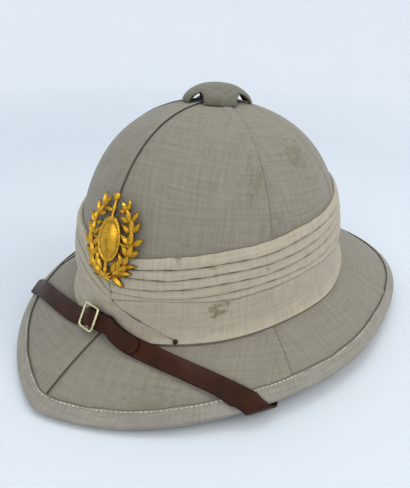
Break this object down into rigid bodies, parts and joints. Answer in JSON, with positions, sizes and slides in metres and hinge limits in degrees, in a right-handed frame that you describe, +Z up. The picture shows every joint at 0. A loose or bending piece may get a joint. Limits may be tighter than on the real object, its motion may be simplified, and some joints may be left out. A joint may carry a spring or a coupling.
{
  "type": "pith helmet",
  "caption": "Cloth-covered pith helmet with sloping pointed brim, pleated cloth band, ventilator cap, gilt openwork badge and leather chin strap over the front.",
  "frame": {"origin": "under the middle of the brim, at the level of the front and back of the brim that the helmet rests on", "axes": "+Z up, -Y towards the front, +X towards the wearer's left"},
  "size_m": [0.2728, 0.373, 0.1815],
  "materials": {
    "pressed_pith": "raw, matt",
    "khaki_drill": "cotton drill, matt, soiled",
    "edge_tape": "cotton tape, matt",
    "cream_muslin": "fine cotton, matt, stained",
    "dark_tack": "dark, worn",
    "zinc_collar": "dull",
    "gilt_brass": "gilt, bright, dark in the recesses",
    "pale_brass": "polished, a little tarnished",
    "brown_leather": "glossy, creased"
  },
  "bodies": {
    "root": {"shell": "pressed_pith", "gore_1": "khaki_drill", "gore_2": "khaki_drill", "gore_3": "khaki_drill", "gore_4": "khaki_drill", "gore_5": "khaki_drill", "gore_6": "khaki_drill", "brim_binding": "edge_tape", "puggaree_under_wrap": "cream_muslin", "puggaree_outer_wrap": "cream_muslin", "wrap_tack": "dark_tack", "ventilator_seat": "zinc_collar", "ventilator_cap": "khaki_drill", "badge": "gilt_brass", "chin_strap": "brown_leather", "strap_tail": "brown_leather", "strap_buckle": "pale_brass", "strap_anchor_left": "pale_brass", "strap_anchor_right": "pale_brass"}
  },
  "joints": []
}
